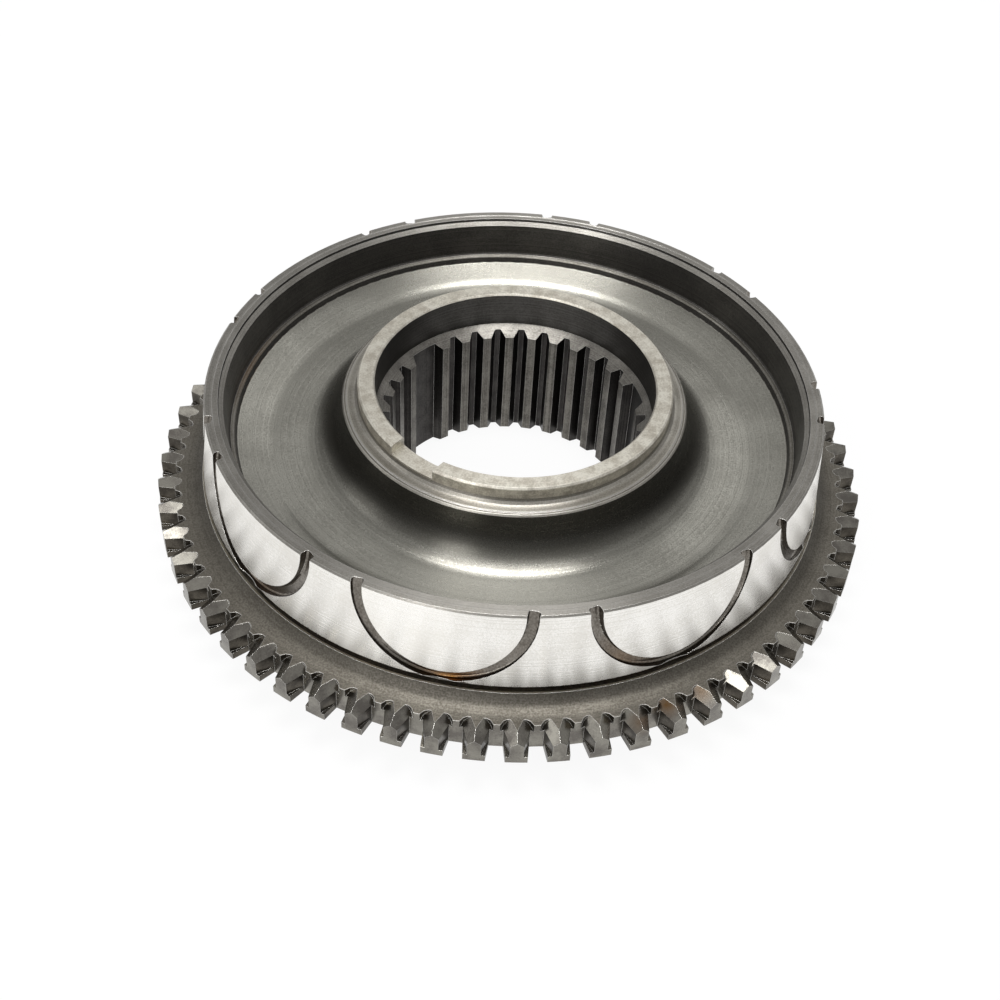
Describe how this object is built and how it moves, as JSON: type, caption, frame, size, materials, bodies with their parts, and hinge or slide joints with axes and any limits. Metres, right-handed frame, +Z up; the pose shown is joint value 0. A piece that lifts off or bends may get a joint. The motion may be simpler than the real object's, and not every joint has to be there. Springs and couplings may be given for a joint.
{
  "type": "synchronizer clutch body",
  "caption": "Steel synchronizer clutch body with pointed dog teeth, a grooved friction cone, a dished web and a splined hub.",
  "frame": {"origin": "centre of the hub's lower face, on which the body stands", "axes": "+Z up along the axis of rotation, towards the rim of the friction cone; the hub's slot lies at -127 degrees from +X"},
  "size_m": [0.2, 0.2, 0.0484],
  "materials": {
    "steel": "satin"
  },
  "bodies": {
    "root": {"clutch_body": "steel"}
  },
  "joints": []
}
